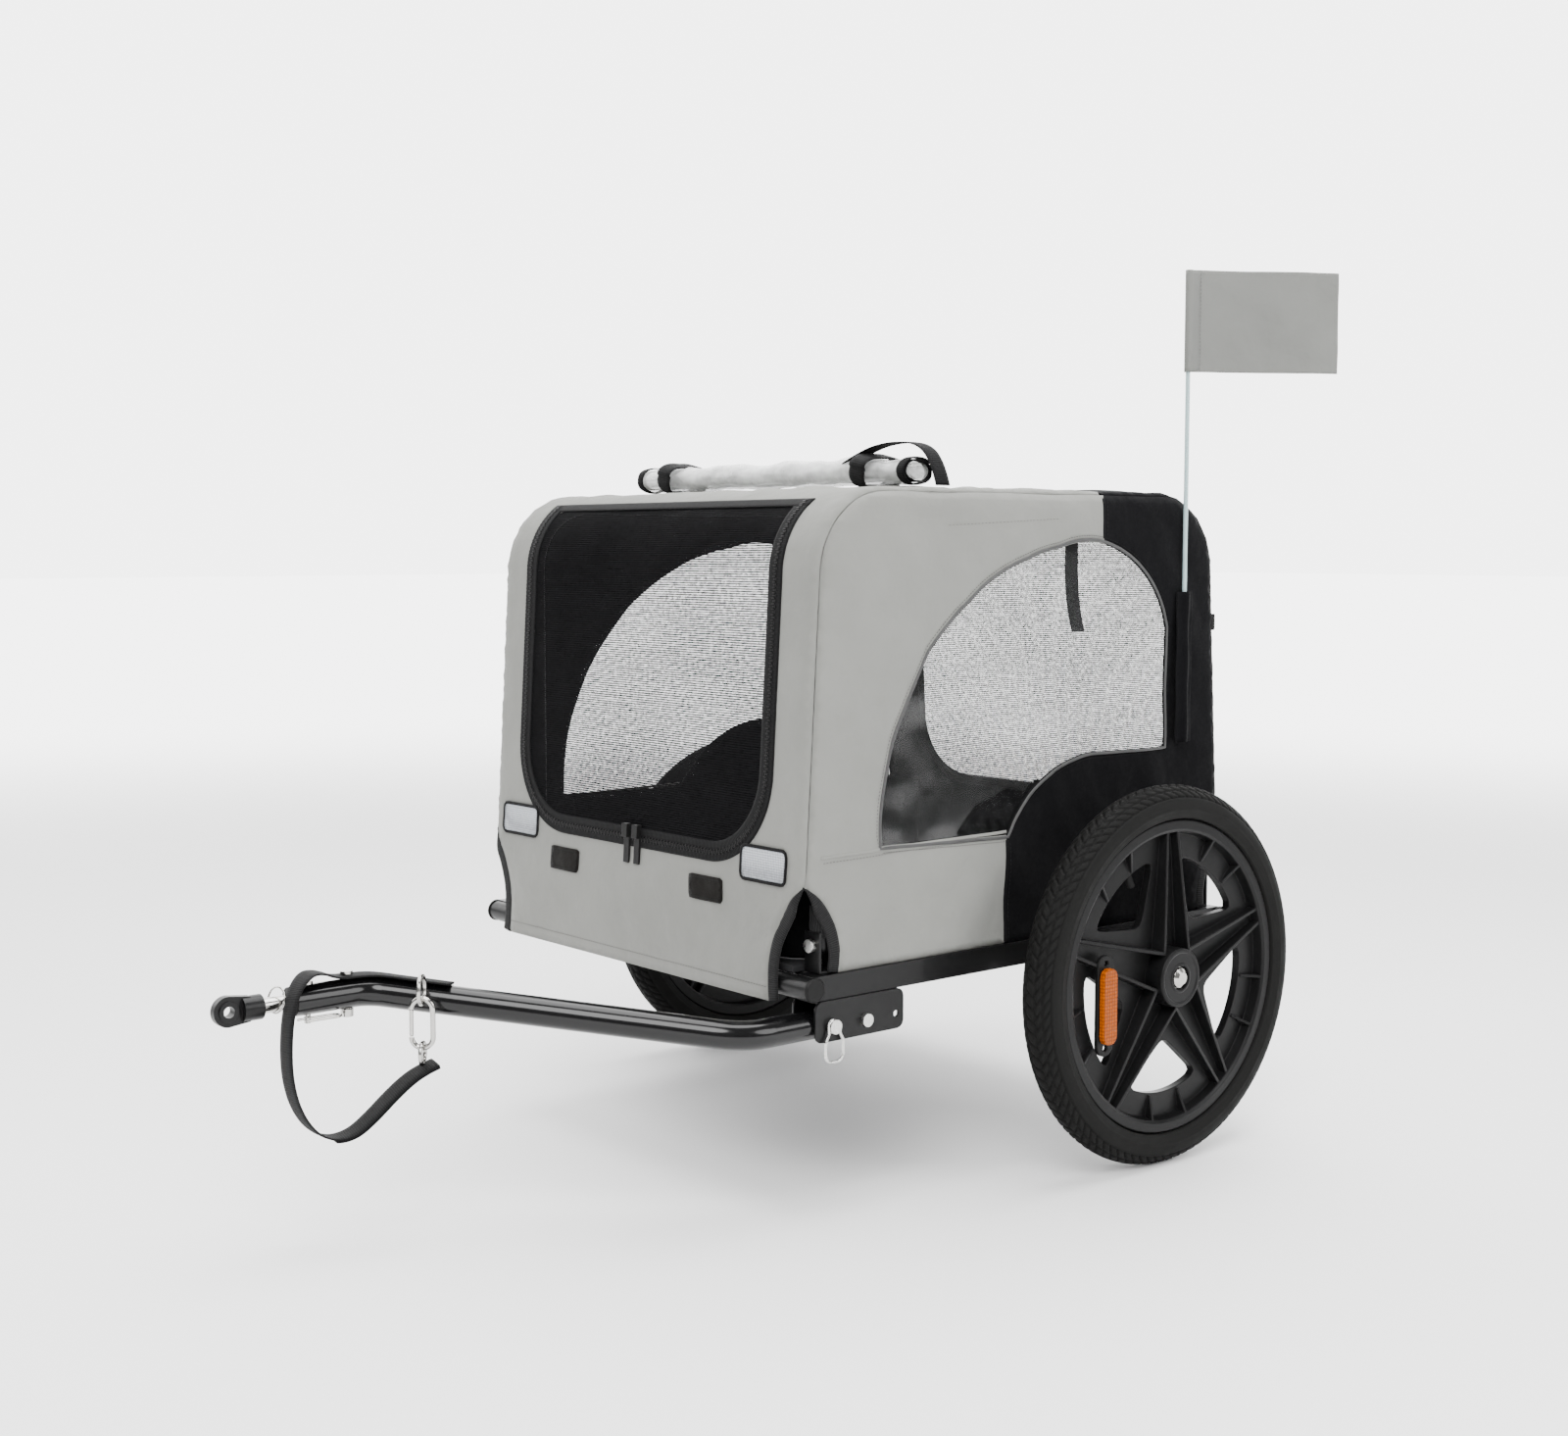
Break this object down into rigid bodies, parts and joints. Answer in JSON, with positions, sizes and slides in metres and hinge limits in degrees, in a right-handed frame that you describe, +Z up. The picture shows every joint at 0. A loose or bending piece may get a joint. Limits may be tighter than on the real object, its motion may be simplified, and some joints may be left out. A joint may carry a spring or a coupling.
{
  "type": "dog bike trailer",
  "caption": "Two-wheeled pet trailer with a folding fabric cabin, mesh doors, clear side windows, a flag, and a bent tow arm whose eye bolts to a bicycle's rear axle.",
  "frame": {"origin": "on the ground, at the middle of the trailer's box", "axes": "+Z up, -Y towards the hitch, +X to the trailer's left, the tow arm's side"},
  "size_m": [0.7626, 1.1682, 0.9449],
  "materials": {
    "frame_paint": "satin black powder coat",
    "arm_paint": "gloss black paint",
    "zinc": "bright zinc plate",
    "chrome": "bright nickel plate",
    "black_plastic": "moulded black",
    "rim_plastic": "fine-textured black nylon",
    "tyre": "matt black rubber",
    "tube_rubber": "black butyl",
    "grey_fabric": "coated plain weave, light grey",
    "black_fabric": "coated plain weave, black",
    "mesh": "black knitted mesh",
    "clear_vinyl": "clear soft vinyl",
    "amber_lens": "amber prismatic lens",
    "reflective": "silver-white reflective sheet",
    "webbing": "black woven webbing",
    "flag_fabric": "grey flag cloth",
    "pole": "pale glass-fibre rod",
    "board": "black hard board",
    "mat": "quilted black fabric"
  },
  "bodies": {
    "chassis": {"side_rails": "frame_paint", "crossbars": "frame_paint", "crossbar_end_caps": "black_plastic", "floor_board": "board", "floor_mat": "mat", "hoop_brackets": "frame_paint", "hoop_hinge_bolts": "zinc", "axle_receivers": "frame_paint", "axles": "zinc", "axle_nuts": "chrome", "tow_bracket": "frame_paint", "tow_pivot_bolt": "zinc", "cover_front": "grey_fabric", "cover_rear": "black_fabric", "cover_roof": "grey_fabric", "cover_side_left": "grey_fabric", "cover_side_right": "grey_fabric", "window_left": "clear_vinyl", "window_right": "clear_vinyl", "reflective_patches": "reflective", "hook_tabs": "black_fabric", "rain_cover_roll": "clear_vinyl", "roll_straps": "webbing", "cabin_leash": "webbing"},
    "left_wheel": {"tyre_left": "tyre", "inner_tube_left": "tube_rubber", "rim_left": "rim_plastic", "hub_bearings_left": "zinc", "reflector_carrier_left": "black_plastic", "reflector_lens_left": "amber_lens"},
    "right_wheel": {"tyre_right": "tyre", "inner_tube_right": "tube_rubber", "rim_right": "rim_plastic", "hub_bearings_right": "zinc", "reflector_carrier_right": "black_plastic", "reflector_lens_right": "amber_lens"},
    "left_hoop": {"hoop_left": "frame_paint"},
    "right_hoop": {"hoop_right": "frame_paint"},
    "front_door": {"front_door_mesh": "mesh"},
    "rear_door": {"rear_door_mesh": "mesh"},
    "front_pull_left": {"front_zip_pull_left": "black_plastic"},
    "front_pull_right": {"front_zip_pull_right": "black_plastic"},
    "rear_pull_left": {"rear_zip_pull_left": "black_plastic"},
    "rear_pull_right": {"rear_zip_pull_right": "black_plastic"},
    "tow_arm": {"tow_arm_tube": "arm_paint", "arm_end_bush": "black_plastic", "hitch_shank": "chrome", "hitch_pin": "chrome", "hitch_pin_clip": "chrome", "safety_strap": "webbing", "strap_bolt": "chrome", "strap_rings": "chrome", "snap_hook": "chrome"},
    "hitch": {"hitch_coupler": "frame_paint"},
    "hook_gate": {"snap_hook_gate": "chrome"},
    "lock_pin": {"tow_lock_pin": "zinc"},
    "lock_wire": {"lock_pin_wire": "zinc"},
    "flag_holder": {"flag_sleeve": "black_fabric"},
    "flag": {"flag_pole": "pole", "flag_cloth": "flag_fabric"}
  },
  "joints": [
    {"name": "left_wheel_spin", "type": "hinge", "parent": "chassis", "child": "left_wheel", "pos_m": [0.352, 0.32187, 0.2], "axis": [1, 0, 0], "continuous": true},
    {"name": "right_wheel_spin", "type": "hinge", "parent": "chassis", "child": "right_wheel", "pos_m": [-0.352, 0.32187, 0.2], "axis": [1, 0, 0], "continuous": true},
    {"name": "cabin_fold", "type": "hinge", "parent": "chassis", "child": "right_hoop", "pos_m": [-0.263, 0.20487, 0.268], "axis": [0, -1, 0], "range_deg": [-90, 0], "deforming": ["cover_front", "cover_rear", "cover_roof", "cover_side_left", "cover_side_right", "window_left", "window_right", "reflective_patches", "hook_tabs", "rain_cover_roll", "roll_straps", "cabin_leash"]},
    {"name": "left_hoop_fold", "type": "hinge", "parent": "chassis", "child": "left_hoop", "pos_m": [0.263, 0.20487, 0.268], "axis": [0, 1, 0], "range_deg": [-77.2, 0]},
    {"name": "flag_drop", "type": "slide", "parent": "chassis", "child": "flag_holder", "axis": [0, 0, 1], "range_m": [-0.1905, 0]},
    {"name": "flag_lift", "type": "slide", "parent": "flag_holder", "child": "flag", "axis": [0, 0, 1], "range_m": [0, 0.15]},
    {"name": "front_door_swing", "type": "hinge", "parent": "chassis", "child": "front_door", "pos_m": [0, -0.05183, 0.69], "axis": [-1, 0, 0], "range_deg": [0, 110]},
    {"name": "rear_door_swing", "type": "hinge", "parent": "chassis", "child": "rear_door", "pos_m": [0, 0.46157, 0.69], "axis": [1, 0, 0], "range_deg": [0, 110]},
    {"name": "tow_arm_fold", "type": "hinge", "parent": "chassis", "child": "tow_arm", "pos_m": [0.2645, -0.03313, 0.192], "axis": [-1, 0, 0], "range_deg": [-172, 0], "deforming": ["safety_strap"]},
    {"name": "hitch_swivel", "type": "hinge", "parent": "tow_arm", "child": "hitch", "pos_m": [0.028, -0.54513, 0.234], "axis": [0, 1, 0], "range_deg": [-60, 60]},
    {"name": "hook_gate_press", "type": "hinge", "parent": "tow_arm", "child": "hook_gate", "pos_m": [0.07888, -0.41331, 0.19847], "axis": [-0.7423, 0.6701, 0], "range_deg": [0, 25], "stiffness_Nm_per_rad": 0.05},
    {"name": "lock_pin_pull", "type": "slide", "parent": "chassis", "child": "lock_pin", "axis": [1, 0, 0], "range_m": [0, 0.045]},
    {"name": "lock_wire_swing", "type": "hinge", "parent": "lock_pin", "child": "lock_wire", "pos_m": [0.2853, -0.07513, 0.192], "axis": [1, 0, 0], "range_deg": [-50, 50]},
    {"name": "front_zip_left", "type": "slide", "parent": "front_door", "child": "front_pull_left", "axis": [1, 0, 0], "range_m": [0, 0.08]},
    {"name": "front_zip_right", "type": "slide", "parent": "front_door", "child": "front_pull_right", "axis": [-1, 0, 0], "range_m": [0, 0.08]},
    {"name": "rear_zip_left", "type": "slide", "parent": "rear_door", "child": "rear_pull_left", "axis": [1, 0, 0], "range_m": [0, 0.08]},
    {"name": "rear_zip_right", "type": "slide", "parent": "rear_door", "child": "rear_pull_right", "axis": [-1, 0, 0], "range_m": [0, 0.08]}
  ],
  "couplings": [
    {"joint": "left_hoop_fold", "follows": "cabin_fold", "ratio": 0.85556},
    {"joint": "flag_drop", "follows": "cabin_fold", "m_per_rad": 0.12096}
  ]
}
